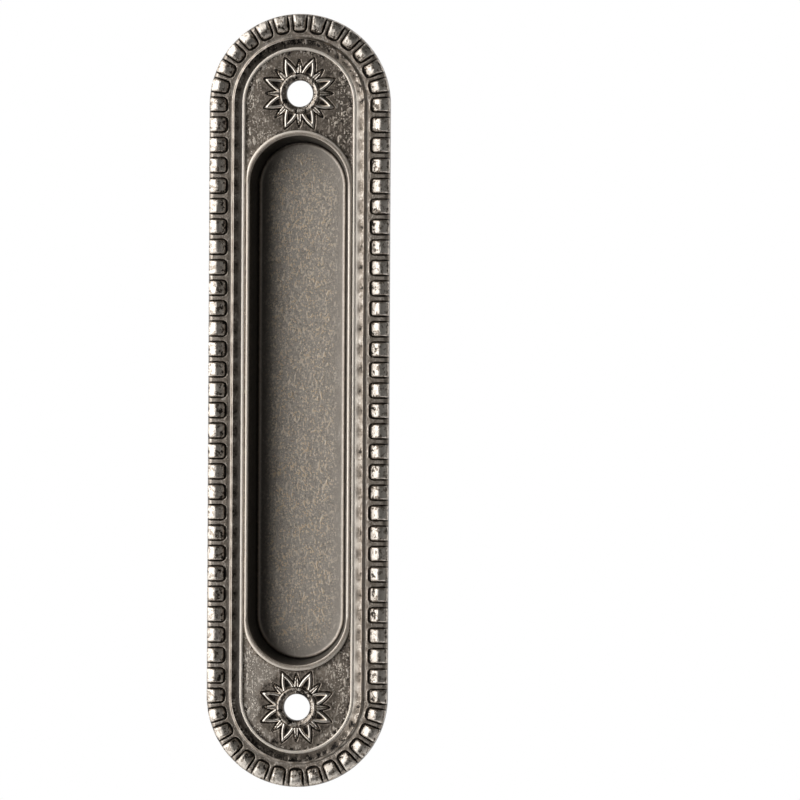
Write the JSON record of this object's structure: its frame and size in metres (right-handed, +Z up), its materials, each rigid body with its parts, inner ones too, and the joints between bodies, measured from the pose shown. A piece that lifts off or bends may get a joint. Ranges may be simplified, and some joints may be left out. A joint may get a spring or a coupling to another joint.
{
  "type": "sliding door handle",
  "caption": "Flush pull for a sliding door: a long cast plate with round ends, a beaded edge, a leaf rosette round each screw hole and a deep finger cup.",
  "frame": {"origin": "midway between the two screw holes, on the seating plane where the back of the plate meets the door", "axes": "+Z up along the plate, -Y out of the front towards the user, +Y back into the door, +X to the right seen from the front"},
  "size_m": [0.036, 0.0115, 0.153],
  "materials": {
    "antique_silver": "antique silver plating, dark in the hollows and rubbed bright on the raised edges"
  },
  "bodies": {
    "root": {"flush_pull": "antique_silver"}
  },
  "joints": []
}
